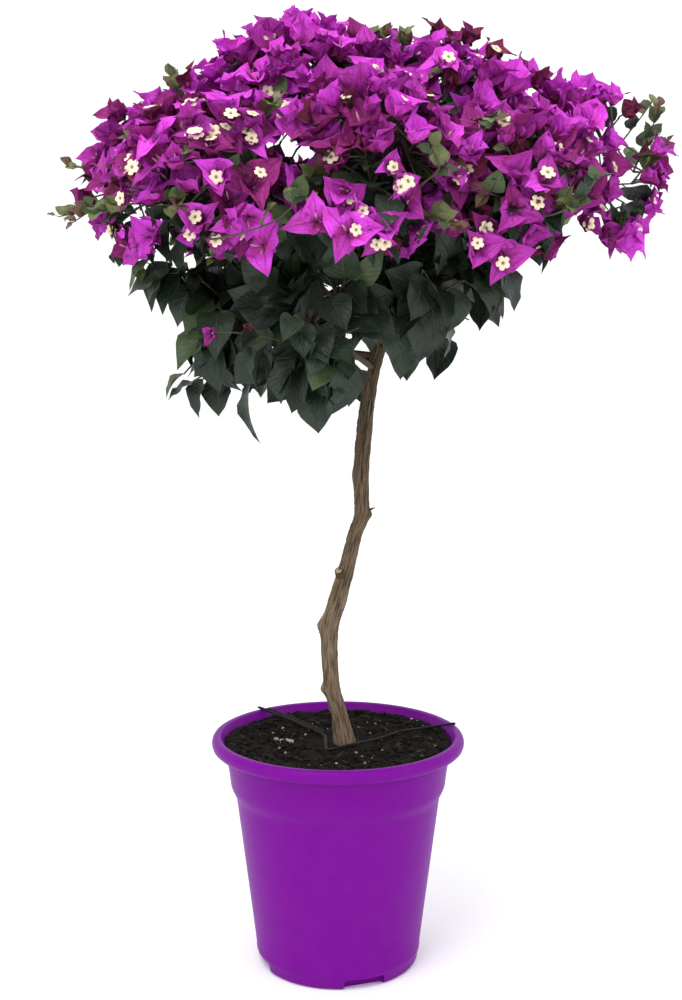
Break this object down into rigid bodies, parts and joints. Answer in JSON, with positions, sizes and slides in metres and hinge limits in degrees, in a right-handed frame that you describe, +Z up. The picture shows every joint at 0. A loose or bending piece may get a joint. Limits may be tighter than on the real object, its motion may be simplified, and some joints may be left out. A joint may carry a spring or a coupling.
{
  "type": "potted flowering shrub",
  "caption": "Woody shrub trained on one bare winding stem, with a wide crown of papery purple bracts over dark hanging leaves, in a tapered nursery pot.",
  "frame": {"origin": "centre of the pot's flat underside", "axes": "+Z up along the pot's axis, +X to the right as seen from the front, -Y towards the front"},
  "size_m": [0.494, 0.4123, 0.8135],
  "materials": {
    "pot_plastic": "satin injection-moulded purple plastic",
    "soil": "dark moist potting compost with fibres and pale specks",
    "strap_plastic": "thin black plastic strip",
    "bark": "grey-brown fissured bark",
    "bloom": "papery magenta-purple bracts with small cream flowers",
    "leaf": "dark green soft leaves with a faint sheen"
  },
  "bodies": {
    "root": {"pot": "pot_plastic", "soil": "soil", "strap": "strap_plastic", "trunk": "bark", "bough_top": "bark", "bough_left": "bark", "bough_right": "bark", "bough_front": "bark", "bough_back": "bark", "bough_top_right": "bark", "bough_front_left": "bark", "bough_back_left": "bark", "bough_front_right": "bark", "bough_back_right": "bark", "bloom_top": "bloom", "bloom_top_right": "bloom", "bloom_left": "bloom", "bloom_right": "bloom", "bloom_front_left": "bloom", "bloom_front": "bloom", "bloom_front_right": "bloom", "bloom_back_left": "bloom", "bloom_back": "bloom", "bloom_back_right": "bloom", "leaves_left": "leaf", "leaves_front": "leaf", "leaves_right": "leaf", "leaves_back_left": "leaf", "leaves_back_right": "leaf"}
  },
  "joints": []
}
